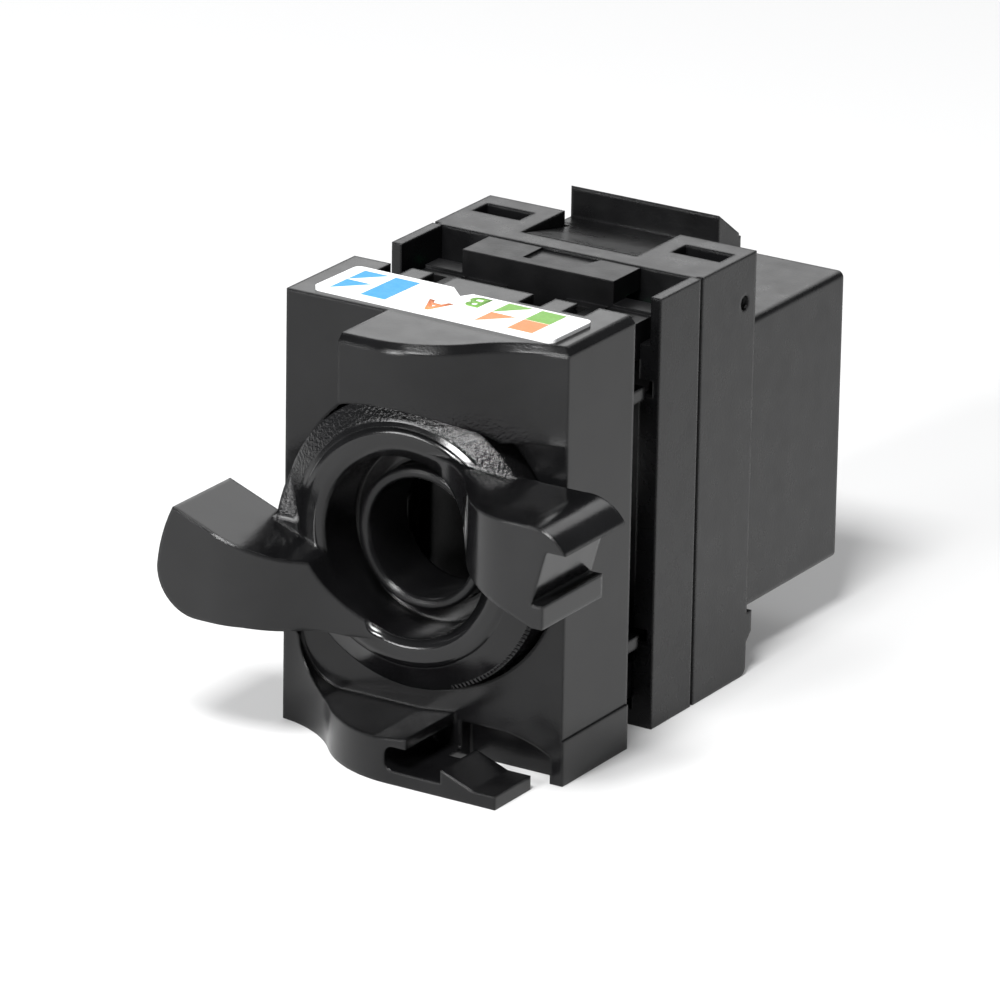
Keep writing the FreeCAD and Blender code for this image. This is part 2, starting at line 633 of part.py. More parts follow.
def make_spring_contact(label, x):
    """A strip that runs from the board along the port's roof and folds back into the port."""
    body = new_body(label)
    top = spring_row_z()
    start = BOARD_REAR
    outer = "(spring_fold + spring_thickness)"
    front = f"({NOSE_WALL} + spring_front_gap + {outer})"
    centre_z = f"({top} - {outer})"
    # The sprung end leaves the fold at spring_angle below the horizontal.
    s, c = "sin(spring_angle)", "cos(spring_angle)"

    def on_fold(radius):
        return (f"{front} - {radius} * {s}", f"{centre_z} - {radius} * {c}")

    def sprung(radius):
        y, z = on_fold(radius)
        return (f"{y} + spring_return * {c}", f"{z} - spring_return * {s}")

    strip = new_sketch(body, label + "_profile", "YZ_Plane", f"{x} - spring_width / 2")
    draw(strip, [(start, top),
                 (front, top),
                 (f"{front} - {outer}", centre_z, outer, 1),
                 on_fold(outer) + (outer, 1),
                 sprung(outer),
                 sprung("spring_fold"),
                 on_fold("spring_fold"),
                 (f"{front} - spring_fold", centre_z, "spring_fold", -1),
                 (front, f"{top} - spring_thickness", "spring_fold", -1),
                 (start, f"{top} - spring_thickness")])
    pad(body, strip, "spring_width")
    return body


def make_contact_carrier():
    """A plate above the plug contacts, with a comb that keeps them apart."""
    body = new_body("contact_carrier")
    top = f"({PORT_TOP} + carrier_room - carrier_gap)"
    under = f"({top} - carrier_height)"
    rear = f"({FLANGE_REAR} - carrier_gap)"
    front = f"({NOSE_WALL} + carrier_front_gap)"
    half = "(port_width / 2 - carrier_side_gap)"
    plate = new_sketch(body, "carrier_outline", "XY_Plane", under)
    draw_box(plate, f"-{half}", half, front, rear)
    pad(body, plate, "carrier_height")

    comb = new_sketch(body, "carrier_comb", "YZ_Plane", f"-{half}")
    draw_box(comb, front, f"{front} + comb_length",
             f"{under} - contact_gap - spring_thickness", f"{under} + 0.1")
    pad(body, comb, f"2 * {half}")
    gaps = new_sketch(body, "carrier_slots", "XZ_Plane", f"-{FLANGE_REAR}")
    for x in spring_places():
        draw_box(gaps, f"{x} - spring_width / 2 - contact_gap", f"{x} + spring_width / 2 + contact_gap",
                 f"{under} - contact_gap - spring_thickness - 0.5", under)
    pocket(body, gaps, "flange_depth + nose_length", reverse=True)
    return body


# ---------------------------------------------------------------------------------------------
# Terminal block: base plate, towers round the cutting contacts and a stepped lid
# ---------------------------------------------------------------------------------------------

def make_terminal_block():
    body = new_body("terminal_block")
    half = f"({SHELL_INNER} - block_side_gap)"
    low = "(shell_web + block_side_gap)"
    high = "(base_height - block_top)"

    base = new_sketch(body, "block_plate", "XZ_Plane", f"-{BLOCK_REAR}")
    draw_box(base, f"-{half}", half, low, high)
    pad(body, base, "block_base")

    towers = new_sketch(body, "block_towers", "XZ_Plane", f"-{TOWER_END}")
    for x, z in cutter_places():
        draw_box(towers, f"{x} - tower_width / 2", f"{x} + tower_width / 2",
                 f"{z} - tower_height / 2", f"{z} + tower_height / 2")
    pad(body, towers, f"{TOWER_END} - {BLOCK_REAR}")

    lid = new_sketch(body, "block_lid", "YZ_Plane", "-lid_width / 2")
    lid_top = "(base_height - lid_drop)"
    draw_box(lid, f"{FLANGE_REAR} + board_gap", f"{FLANGE_REAR} + lid_back",
             f"{high} + board_gap", lid_top)
    pad(body, lid, "lid_width")
    neck = new_sketch(body, "block_neck", "YZ_Plane", "-lid_width / 2")
    draw_box(neck, BLOCK_FRONT, BLOCK_REAR, f"{high} - 0.5", f"{high} + board_gap + 0.1")
    pad(body, neck, "lid_width")
    step = new_sketch(body, "lid_recess", "XY_Plane", lid_top)
    draw(step, [("step_left", f"{FLANGE_REAR} - 1"),
                ("step_left", f"{FLANGE_REAR} + step_back"),
                ("-step_right", f"{FLANGE_REAR} + step_back"),
                ("-step_right - step_slant", f"{FLANGE_REAR} + board_gap"),
                ("-step_right - step_slant", f"{FLANGE_REAR} - 1")])
    pocket(body, step, "lid_step")

    blades = new_sketch(body, "blade_slits", "XZ_Plane", f"-{BLOCK_FRONT}")
    for x, z in cutter_places():
        draw_box(blades, f"{x} - cutter_width / 2 - contact_gap",
                 f"{x} + cutter_width / 2 + contact_gap",
                 f"{z} - cutter_thickness / 2 - contact_gap",
                 f"{z} + cutter_thickness / 2 + contact_gap")
    pocket(body, blades, f"{TOWER_END} - {BLOCK_FRONT} + 1")

    wires = new_sketch(body, "wire_slots", "XZ_Plane", f"-({TOWER_END} - tower_slot_depth)")
    for x, z in cutter_places():
        draw_box(wires, f"{x} - tower_slot / 2", f"{x} + tower_slot / 2",
                 f"{z} - tower_height", f"{z} + tower_height")
    pocket(body, wires, "tower_slot_depth + 1")
    return body


# ---------------------------------------------------------------------------------------------
# Wire cap: hollow block with the cable guide, the lever's seat and the two ramp blocks
# ---------------------------------------------------------------------------------------------

def ramp_block(sign):
    """Plan of a block, from the flat end to the ramp's foot at the cap's side.

    sign is -1 for the upper block, which falls towards -X, and +1 for the lower one."""
    def across(text):
        return f"{sign} * ({text})"

    side = "cap_width / 2"
    start = f"({side} + ramp_lead)"
    foot = f"({CAP_REAR} + {RAMP_RADIUS} - sqrt({RAMP_RADIUS} ^ 2 - ramp_lead ^ 2))"
    top = f"({CAP_REAR} + ramp_rise)"
    turn = -sign
    return [(across("-block_end"), f"{CAP_REAR} - 0.5"),
            (across(side), f"{CAP_REAR} - 0.5"),
            (across(side), foot),
            (across(f"{start} - ramp_run / 2"), f"{CAP_REAR} + ramp_rise / 2", RAMP_RADIUS, turn),
            (across(f"{start} - ramp_run"), top, RAMP_RADIUS, -turn),
            (across("-block_end"), top)]


def make_wire_cap():
    body = new_body("wire_cap")
    half = "cap_width / 2"
    inner = f"({half} - cap_wall)"

    shell = new_sketch(body, "cap_outline", "XZ_Plane", f"-{CAP_REAR}")
    draw_box(shell, f"-{half}", half, "0", "base_height")
    pad(body, shell, "cap_depth")

    upper = new_sketch(body, "upper_block", "XY_Plane", f"{AXIS_Z} + block_low")
    draw(upper, ramp_block(-1))
    pad(body, upper, f"{AXIS_Z} - block_low")
    lower = new_sketch(body, "lower_block", "XY_Plane", "0")
    draw(lower, ramp_block(1))
    pad(body, lower, AXIS_Z)

    # The tooth sits on a sprung finger that reaches out of the lower block, clear of the cap's wall.
    strip = new_sketch(body, "tooth_finger", "XZ_Plane", f"-({CAP_REAR} + ramp_rise)")
    draw(strip, [("-strip_end", "0"), ("-block_end + 0.5", "0"),
                 ("-block_end + 0.5", "slot_floor"), ("-slot_right", "slot_floor"),
                 ("-slot_right", "tooth_top"), ("-slot_right - tooth_run", "slot_floor"),
                 ("-strip_end", "slot_floor")])
    pad(body, strip, "finger_depth")
    recess = new_sketch(body, "finger_recess", "XZ_Plane", f"-({CAP_REAR} - recess_depth)")
    draw(recess, [("-recess_side", "-1"), ("-block_end", "-1"), ("-block_end", "recess_height"),
                  ("-recess_bend", "recess_height"),
                  ("-recess_side", "recess_low", "recess_side", 1)])
    pocket(body, recess, "recess_depth + 0.1")

    side = new_sketch(body, "side_face", "YZ_Plane", f"-({half} - side_step)")
    draw_box(side, f"{CAP_FRONT} - 1", f"{CAP_REAR} + ramp_rise + 1",
             "side_step_top", "base_height + 1")
    pocket(body, side, "side_step + 1")
    side_x = f"(side_step - {half})"
    outer_edges = edges_of(body, lambda p: (near(p.z, "base_height") and p.y > number(CAP_REAR) + 0.005
                                            and p.x < number("block_end") - 0.01)
                           or (near(p.z, "base_height") and near(p.x, side_x)))
    dress(body, "Chamfer", "block_edges", outer_edges, "Size", "cap_chamfer")

    swing = new_sketch(body, "swing_pocket", "XZ_Plane", f"-{CAP_REAR}")
    draw_circle(swing, "0", AXIS_Z, "swing_radius")
    pocket(body, swing, "ramp_rise + 1")
    # The pocket in the lower block leaves room for the hooked wing to swing down.
    room = new_sketch(body, "wing_pocket", "XZ_Plane", f"-{CAP_REAR}")
    draw(room, [("-slot_left", "pocket_end"),
                ("0", "pocket_floor"),
                ("pocket_left", "pocket_floor"),
                ("pocket_side", "pocket_top", "pocket_round", 1),
                (half, f"{AXIS_Z} - block_low + 1"),
                (half, f"{AXIS_Z} + 1"),
                ("-slot_left", f"{AXIS_Z} + 1")])
    pocket(body, room, "ramp_rise + 1")

    lock = new_sketch(body, "lock_slot", "XZ_Plane", f"-{CAP_REAR}")
    draw(lock, [("-block_end - 1", "slot_floor"),
                ("-slot_left + undercut - undercut_round", "slot_floor"),
                ("-slot_left + undercut", "slot_floor + undercut_round", "undercut_round", 1),
                ("-slot_left + undercut", "undercut_top - undercut_round"),
                ("-slot_left + undercut - undercut_round", "undercut_top", "undercut_round", 1),
                ("-slot_left", "undercut_top"),
                ("-slot_left", AXIS_Z),
                ("-block_end - 1", AXIS_Z)])
    pocket(body, lock, "ramp_rise + 1")

    cavity = new_sketch(body, "cap_cavity", "XZ_Plane", f"-{CAP_FRONT}")
    draw_box(cavity, f"-{inner}", inner, "cap_wall", "base_height - cap_wall")
    pocket(body, cavity, "cap_depth - seat_depth - cap_floor")

    seat = new_sketch(body, "lever_seat", "XZ_Plane", f"-{SEAT_FLOOR}")
    draw_circle(seat, "0", AXIS_Z, "seat_radius")
    draw_circle(seat, "0", AXIS_Z, GUIDE_RADIUS)
    pocket(body, seat, "seat_depth")

    rim = new_sketch(body, "guide_rim", "XZ_Plane", f"-({CAP_REAR} + guide_stand)")
    draw_circle(rim, "0", AXIS_Z, GUIDE_RADIUS)
    pad(body, rim, "guide_stand + 0.5")
    bore = new_sketch(body, "cable_bore", "XZ_Plane", f"-{CAP_FRONT}")
    draw_circle(bore, "0", AXIS_Z, "bore_radius")
    pocket(body, bore, "cap_depth + guide_stand + 1")
    rim_edges = edges_of(body, lambda p: near(p.y, f"{CAP_REAR} + guide_stand"))
    dress(body, "Fillet", "rim_rounding", rim_edges, "Radius", "rim_round")

    # Slots for the eight wires, through the upper and the lower wall at the front.
    comb = new_sketch(body, "comb_slots", "XY_Plane", AXIS_Z)
    for x in ("-cutter_outer", "-cutter_inner", "cutter_inner", "cutter_outer"):
        draw_box(comb, f"{x} - wire_slot_width / 2", f"{x} + wire_slot_width / 2",
                 f"{CAP_FRONT} - 1", f"{CAP_FRONT} + wire_slot_depth")
    pocket_both_ways(body, comb, "base_height + 2")

    pegs = new_sketch(body, "guide_pegs", "XZ_Plane", f"-({CAP_FRONT} + 0.5)")
    for side in ("", "-"):
        for row_sign in ("+", "-"):
            middle = f"({AXIS_Z} {row_sign} peg_rise)"
            draw_box(pegs, f"{side}{SHELL_INNER}", f"{side}({SHELL_INNER} + peg_size)",
                     f"{middle} - peg_size / 2", f"{middle} + peg_size / 2")
    pad(body, pegs, "peg_length + 0.5")
    return body


# ---------------------------------------------------------------------------------------------
# Lever: hub, ring and two wings, one of them hooked, moulded in one piece
# ---------------------------------------------------------------------------------------------

def wing_edge(sign, points):
    """Corners of a wing's outline, given for the left wing and turned half round for the right."""
    return [(f"{sign} * ({x})", f"{AXIS_Z} + {sign} * ({z})") + tuple(rest) for x, z, *rest in points]


def sweep_cut(sign):
    """Plan of what is cut away above a wing where it rises from the ring."""
    low = f"({CAP_REAR} + ring_stand)"
    high = f"({CAP_REAR} + wing_stand)"
    run = "(sweep_end - sweep_start)"
    rise = "(wing_stand - ring_stand)"
    radius = f"(({run} ^ 2 + {rise} ^ 2) / (4 * {rise}))"
    middle_x = "(sweep_start + sweep_end) / 2"
    middle_y = f"({low} + {high}) / 2"
    return [("0", low),
            (f"{sign} * sweep_start", low),
            (f"{sign} * {middle_x}", middle_y, radius, sign),
            (f"{sign} * sweep_end", high, radius, -sign),
            (f"{sign} * sweep_end", f"{high} + 1"),
            ("0", f"{high} + 1")]


def make_lever():
    body = new_body("lever")
    foot = f"({SEAT_FLOOR} + seat_gap)"
    shoulder = f"({foot} + rim_depth)"
    collar_edge = f"({CAP_REAR} + collar_stand)"
    ring_face = f"({CAP_REAR} + ring_stand)"
    wing_face = f"({CAP_REAR} + wing_stand)"

    hub = new_sketch(body, "hub_profile", "XY_Plane", AXIS_Z)
    draw(hub, [(f"{GUIDE_RADIUS} + hub_gap", foot),
               ("seat_radius - rim_gap", foot),
               ("seat_radius - rim_gap", shoulder),
               ("collar_radius", shoulder),
               ("collar_radius", collar_edge),
               ("ring_radius", ring_face),
               ("ring_inner", ring_face),
               ("ring_inner", shoulder),
               (f"{GUIDE_RADIUS} + hub_gap", shoulder)])
    turned = body.newObject("PartDesign::Revolution", "hub_turned")
    turned.Profile = hub
    turned.ReferenceAxis = (hub, ["V_Axis"])
    turned.Angle = 360
    hub.Visibility = False

    # A flat ramp climbs the collar ahead of each wing, up to the height of the ring's face.
    for sign, name in ((1, "left"), (-1, "right")):
        wedge = new_sketch(body, name + "_ramp", "YZ_Plane", f"{sign} * ramp_flat")
        draw(wedge, [(f"{shoulder} + 0.2", f"{AXIS_Z} - {sign} * wing_under"),
                     (ring_face, f"{AXIS_Z} - {sign} * wing_under"),
                     (ring_face, AXIS_Z),
                     (collar_edge, f"{AXIS_Z} + {sign} * ramp_low"),
                     (f"{shoulder} + 0.2", f"{AXIS_Z} + {sign} * ramp_low")])
        pad(body, wedge, "seat_radius - ramp_flat", reverse=sign < 0)
    trim = new_sketch(body, "collar_trim", "XZ_Plane", f"-{shoulder}")
    draw_circle(trim, "0", AXIS_Z, "collar_radius")
    draw_circle(trim, "0", AXIS_Z, "seat_radius + wing_stand")
    pocket(body, trim, "wing_stand")

    root = [("sweep_start", "-wing_under_root"),
            ("ring_radius / 2", "-wing_under_root"),
            ("collar_radius - 0.6", "-wing_under", "2 * wing_reach", -1),
            ("wing_reach - wing_tip_round", "-wing_under")]
    throat = [("ring_inner - 0.25", "-wing_waist"),
              ("sweep_start", "-wing_waist")]

    grip = new_sketch(body, "left_wing", "XZ_Plane", f"-{wing_face}")
    draw(grip, wing_edge(1, root + [
        ("wing_reach", "-wing_under + wing_tip_round", "wing_tip_round", 1),
        ("wing_corner", "wing_top", "wing_bulge", 1)] + throat))
    pad(body, grip, "wing_stand - grip_clear")

    hook = new_sketch(body, "right_wing", "XZ_Plane", f"-{wing_face}")
    draw(hook, wing_edge(-1, root + [
        ("wing_reach", "-jaw_top", "wing_tip_round", 1),
        ("jaw_root_top", "-jaw_top"),
        ("jaw_root", "-jaw_bottom"),
        ("lip_reach", "-jaw_bottom"),
        ("lip_reach", "lip_under"),
        ("jaw_root", "lip_under")] + throat))
    pad(body, hook, "wing_stand - hook_clear")

    for sign, name in ((1, "left_sweep"), (-1, "right_sweep")):
        sweep = new_sketch(body, name, "XY_Plane", AXIS_Z)
        draw(sweep, sweep_cut(sign))
        pocket_both_ways(body, sweep, "base_height")

    mouth = new_sketch(body, "ring_mouth", "XZ_Plane", f"-{shoulder}")
    draw_circle(mouth, "0", AXIS_Z, "ring_inner")
    pocket(body, mouth, "wing_stand + seat_depth")
    return body


# ---------------------------------------------------------------------------------------------
# Label
# ---------------------------------------------------------------------------------------------

def make_label():
    body = new_body("wiring_label")
    rear = f"({CAP_REAR} - label_inset)"
    label = new_sketch(body, "label_outline", "XY_Plane", "base_height")
    draw(label, [("-label_right", rear), ("label_left", rear),
                 ("label_left", f"{rear} - label_length - label_long"),
                 ("label_left - label_step", f"{rear} - label_length - label_long"),
                 ("label_left - label_step - label_long / 2", f"{rear} - label_length"),
                 ("-label_right", f"{rear} - label_length")])
    pad(body, label, "label_thickness")
    return body


# ---------------------------------------------------------------------------------------------
# The assembly
# ---------------------------------------------------------------------------------------------

parts = [make_nose_housing(), make_latch_arm(), make_rear_shell(), make_circuit_board(),
         make_contact_carrier(), make_terminal_block(), make_wire_cap(), make_lever(), make_label()]
for index, (x, z) in enumerate(cutter_places(), 1):
    parts.append(make_cutting_contact(f"cutting_contact_{index}", x, z))
for index, x in enumerate(spring_places(), 1):
    parts.append(make_spring_contact(f"spring_contact_{index}", x))
doc.recompute()

failed = [item.Label for item in doc.Objects if "Invalid" in item.State or "Error" in item.State]
if failed:
    raise RuntimeError(f"these features failed: {failed}")
for part in parts:
    if part.Shape.isNull() or not part.Shape.isValid():
        raise RuntimeError(f"{part.Label} has no valid shape")
for part in parts:
    part.Shape.exportStep(f"parts/{part.Label}.step")
    print(f"{part.Label}: {len(part.Shape.Solids)} solid, {part.Shape.Volume:.2f} mm3")
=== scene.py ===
"""Looks of the keystone jack: finishes, printed label, light and camera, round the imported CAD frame.

The CAD frame is in metres: +X to the left as seen from the cable side, +Y towards the cable, +Z up.
Sizes here are in millimetres and are multiplied by MM.
"""
import math
import bmesh
import bpy
from mathutils import Matrix, Vector


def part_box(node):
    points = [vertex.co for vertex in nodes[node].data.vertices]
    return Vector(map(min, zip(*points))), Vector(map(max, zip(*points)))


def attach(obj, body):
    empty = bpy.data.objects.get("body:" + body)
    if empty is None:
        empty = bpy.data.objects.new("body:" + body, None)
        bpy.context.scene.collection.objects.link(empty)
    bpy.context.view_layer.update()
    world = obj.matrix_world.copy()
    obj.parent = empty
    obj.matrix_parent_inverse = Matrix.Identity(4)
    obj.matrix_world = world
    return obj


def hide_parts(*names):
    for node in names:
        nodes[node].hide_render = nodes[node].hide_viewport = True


MM = 0.001

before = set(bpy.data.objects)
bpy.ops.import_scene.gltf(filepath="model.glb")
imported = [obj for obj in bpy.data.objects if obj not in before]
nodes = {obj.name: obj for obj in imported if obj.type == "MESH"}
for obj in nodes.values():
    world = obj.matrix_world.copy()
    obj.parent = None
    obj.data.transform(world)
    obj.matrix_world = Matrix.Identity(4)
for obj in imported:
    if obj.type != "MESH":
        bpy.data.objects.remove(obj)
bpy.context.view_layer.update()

LABEL_INSET = 0.4          # from the label's near edge to the cap's rear face
LABEL_LOW, LABEL_HIGH = (Vector(corner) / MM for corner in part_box("wiring_label"))
CAP_HIGH = Vector(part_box("wire_cap")[1]) / MM
CAP_REAR = LABEL_HIGH.y + LABEL_INSET      # the cap's rear face, which the lever stands on
AXIS_Z = CAP_HIGH.z / 2                    # height of the lever's axis


# ---------------------------------------------------------------------------------------------
# Camera, floor and light
# ---------------------------------------------------------------------------------------------

CAMERA_AZIMUTH = 31.69     # degrees from the cable's direction towards -X
CAMERA_ELEVATION = 20.03
CAMERA_ROLL = 0.99
CAMERA_DISTANCE = 418.9
CAMERA_LENS = 297.66
CAMERA_SENSOR = 36
CAMERA_AIM = (-2.79, 13.05, 13.48)
CAMERA_NEAR = 10           # nearest distance that is drawn

FLOOR_REACH = 3000         # from the part to the floor's edges
FLOOR_DROP = 0.02          # below the part, so that no faces coincide
FLOOR_TONE = 0.62
FLOOR_GLOW = 0.15          # keeps the soft shadows pale

SKY_COLOUR = (0.95, 0.97, 1, 1)
SKY_STRENGTH = 0.16
LIGHT_AIM = (0, 4, 11)
SOFTBOXES = [
    # name, azimuth, elevation, distance, width, height, watts
    ("key", 12, 57, 500, 150, 120, 3.2),
    ("low_key", -5, 26, 500, 90, 90, 1.7),
    ("front_left", -30, 12, 500, 120, 100, 0.6),
    ("back", 211, 32, 700, 800, 500, 2.2),
]


def direction(azimuth, elevation):
    """Unit vector from the object, azimuth measured from +Y towards -X."""
    a, e = math.radians(azimuth), math.radians(elevation)
    return Vector((-math.sin(a) * math.cos(e), math.cos(a) * math.cos(e), math.sin(e)))


def looking_back(aim, azimuth, elevation, distance):
    """Placement at that distance from aim, in millimetres, looking back at it."""
    away = direction(azimuth, elevation)
    turn = away.to_track_quat("Z", "Y").to_matrix().to_4x4()
    return Matrix.Translation((Vector(aim) + away * distance) * MM) @ turn


def link_object(name, data):
    made = bpy.data.objects.new(name, data)
    bpy.context.scene.collection.objects.link(made)
    return made


def make_camera():
    """The main view, with a view transform that keeps white white."""
    data = bpy.data.cameras.new("camera")
    data.lens = CAMERA_LENS
    data.sensor_width = CAMERA_SENSOR
    data.clip_start = CAMERA_NEAR * MM
    camera = link_object("camera", data)
    place = looking_back(CAMERA_AIM, CAMERA_AZIMUTH, CAMERA_ELEVATION, CAMERA_DISTANCE)
    camera.matrix_world = place @ Matrix.Rotation(math.radians(CAMERA_ROLL), 4, "Z")
    bpy.context.scene.camera = camera
    bpy.context.scene.view_settings.view_transform = "Standard"


def make_floor():
    reach = FLOOR_REACH * MM
    mesh = bpy.data.meshes.new("floor")
    corners = [(-reach, -reach, 0), (reach, -reach, 0), (reach, reach, 0), (-reach, reach, 0)]
    mesh.from_pydata(corners, [], [(0, 1, 2, 3)])
    floor = link_object("floor", mesh)
    floor.location.z = -FLOOR_DROP * MM
    material, tree, shader = new_material("lit_table")
    shader.inputs["Base Color"].default_value = (FLOOR_TONE, FLOOR_TONE, FLOOR_TONE, 1)
    shader.inputs["Roughness"].default_value = 0.9
    shader.inputs["Specular IOR Level"].default_value = 0.1
    shader.inputs["Emission Color"].default_value = (1, 1, 1, 1)
    shader.inputs["Emission Strength"].default_value = FLOOR_GLOW
    mesh.materials.append(material)


def softbox(name, azimuth, elevation, distance, width, height, watts):
    """A rectangular lamp that faces the part."""
    data = bpy.data.lights.new(name, "AREA")
    data.shape = "RECTANGLE"
    data.size = width * MM
    data.size_y = height * MM
    data.energy = watts
    light = link_object(name, data)
    light.matrix_world = looking_back(LIGHT_AIM, azimuth, elevation, distance)


def make_light():
    world = bpy.data.worlds.new("studio")
    world.use_nodes = True
    background = world.node_tree.nodes["Background"]
    background.inputs["Color"].default_value = SKY_COLOUR
    background.inputs["Strength"].default_value = SKY_STRENGTH
    bpy.context.scene.world = world
    for box in SOFTBOXES:
        softbox(*box)


# ---------------------------------------------------------------------------------------------
# Shader helpers
# ---------------------------------------------------------------------------------------------

BEVEL_SAMPLES = 4


def new_material(name):
    material = bpy.data.materials.new(name)
    material.use_nodes = True
    tree = material.node_tree
    return material, tree, tree.nodes["Principled BSDF"]


def feed(tree, socket, value):
    """Sets a socket to a number, or links it to another node's output."""
    if isinstance(value, bpy.types.NodeSocket):
        tree.links.new(value, socket)
    else:
        socket.default_value = value


def noise(tree, size, detail=3.0, stretch=(1, 1, 1)):
    """Noise in object space whose features are about size millimetres wide, from 0 to 1."""
    place = tree.nodes.new("ShaderNodeTexCoord")
    scale = tree.nodes.new("ShaderNodeMapping")
    scale.inputs["Scale"].default_value = stretch
    node = tree.nodes.new("ShaderNodeTexNoise")
    node.inputs["Scale"].default_value = 1 / (size * MM)
    node.inputs["Detail"].default_value = detail
    tree.links.new(place.outputs["Object"], scale.inputs["Vector"])
    tree.links.new(scale.outputs["Vector"], node.inputs["Vector"])
    return node.outputs["Fac"]


def spread(tree, source, low, high, start=0.3, end=0.7):
    """Maps start to end onto low to high. The usual start and end hold most of what noise gives."""
    node = tree.nodes.new("ShaderNodeMapRange")
    node.inputs["From Min"].default_value = start
    node.inputs["From Max"].default_value = end
    node.inputs["To Min"].default_value = low
    node.inputs["To Max"].default_value = high
    tree.links.new(source, node.inputs["Value"])
    return node.outputs["Result"]


def calculate(tree, operation, first, second=0.0):
    node = tree.nodes.new("ShaderNodeMath")
    node.operation = operation
    feed(tree, node.inputs[0], first)
    feed(tree, node.inputs[1], second)
    return node.outputs[0]


def product(tree, first, *others):
    for other in others:
        first = calculate(tree, "MULTIPLY", first, other)
    return first


def between(tree, value, low, high, soft):
    """1 where value lies between low and high, fading out over soft on each side."""
    rise = spread(tree, value, 0, 1, low - soft, low)
    fall = spread(tree, value, 1, 0, high, high + soft)
    return product(tree, rise, fall)


def squared(tree, value):
    return calculate(tree, "POWER", calculate(tree, "ABSOLUTE", value), 2.0)


def round_axis(tree):
    """Distance from the lever's axis and Y in millimetres, and the angle from +X to +Z in radians."""
    place = tree.nodes.new("ShaderNodeTexCoord")
    parts = tree.nodes.new("ShaderNodeSeparateXYZ")
    tree.links.new(place.outputs["Object"], parts.inputs["Vector"])
    across = calculate(tree, "DIVIDE", parts.outputs["X"], MM)
    along = calculate(tree, "DIVIDE", parts.outputs["Y"], MM)
    up = calculate(tree, "SUBTRACT", calculate(tree, "DIVIDE", parts.outputs["Z"], MM), AXIS_Z)
    radius = calculate(tree, "SQRT", calculate(tree, "ADD", squared(tree, across), squared(tree, up)))
    return radius, along, calculate(tree, "ARCTAN2", up, across)


def bump(tree, height, depth, normal=None):
    """Lifts the surface by up to depth millimetres."""
    node = tree.nodes.new("ShaderNodeBump")
    node.inputs["Distance"].default_value = depth * MM
    tree.links.new(height, node.inputs["Height"])
    if normal:
        tree.links.new(normal, node.inputs["Normal"])
    return node.outputs["Normal"]


def round_off(tree, share, depth, normal):
    """Rounds an edge: the surface falls away by depth millimetres, ever more steeply, as share goes to 1."""
    fallen = product(tree, share, share)
    return bump(tree, calculate(tree, "SUBTRACT", 1.0, fallen), depth, normal)


def blended(tree, share, normal, other):
    """One normal where share is 0, the other where it is 1."""
    node = tree.nodes.new("ShaderNodeMix")
    node.data_type = "VECTOR"
    tree.links.new(share, node.inputs["Factor"])
    tree.links.new(normal, node.inputs["A"])
    tree.links.new(other, node.inputs["B"])
    return node.outputs["Result"]


def rounded_edges(tree, radius):
    """Normals as if every edge had that radius, in millimetres."""
    node = tree.nodes.new("ShaderNodeBevel")
    node.samples = BEVEL_SAMPLES
    node.inputs["Radius"].default_value = radius * MM
    return node.outputs["Normal"]


def tinted(tree, colour, tone):
    """The colour times a tone that varies over the surface."""
    node = tree.nodes.new("ShaderNodeMix")
    node.data_type = "RGBA"
    node.blend_type = "MULTIPLY"
    node.inputs["Factor"].default_value = 1
    node.inputs["A"].default_value = (*colour, 1)
    tree.links.new(tone, node.inputs["B"])
    return node.outputs["Result"]


# ---------------------------------------------------------------------------------------------
# Materials
# ---------------------------------------------------------------------------------------------

BLACK = (0.004, 0.004, 0.0043)
BOARD_GREEN = (0.012, 0.11, 0.045)
TIN = (0.62, 0.56, 0.46)
GOLD = (0.85, 0.6, 0.25)
FILM_WHITE = (0.88, 0.88, 0.88)
PRINT_BLUE = (0.03, 0.30, 0.74)
PRINT_GREEN = (0.17, 0.38, 0.07)
PRINT_ORANGE = (0.82, 0.24, 0.09)

# Zones round the lever's axis: radii, heights above the cap's rear face, and angles from +X to +Z.
LIP_RADII = (5.9, 6.35)            # where the ring's outer lip falls away
LIP_DEPTH = 0.18
MOUTH_RADII = (4.85, 5.5)          # where the ring's mouth falls away
MOUTH_DEPTH = 0.4
RING_TOP = (1.95, 2.05)            # the ring lies below this, the wings rise above it
COLLAR_RADII = (6.75, 7.9)
COLLAR_HEIGHTS = (-1, 1.75)
COLLAR_ANGLES = (math.radians(-20), math.radians(140))
COLLAR_DEPTH = 0.05
RIB_RADII = (7.6, 7.9)
RIB_ANGLES = (math.radians(-170), math.radians(-110))
RIBS_PER_TURN = 190.0
RIB_DEPTH = 0.05
UNDERCUT_RADII = (7.5, 8.6)
UNDERCUT_HEIGHTS = (0.3, 0.8)      # the texture fades in between these
UNDERCUT_ANGLES = (math.radians(95), math.radians(170))
UNDERCUT_DEPTH = 0.035
SPARK_SIZE = 0.18


def heights(span):
    """Y of both ends of a span of heights above the cap's rear face."""
    return [CAP_REAR + height for height in span]


def spark_texture(tree, mask, depth, normal):
    """The coarse grain that spark erosion leaves on a mould, where mask is 1."""
    grain = noise(tree, SPARK_SIZE, 4)
    return bump(tree, product(tree, grain, mask), depth, normal)


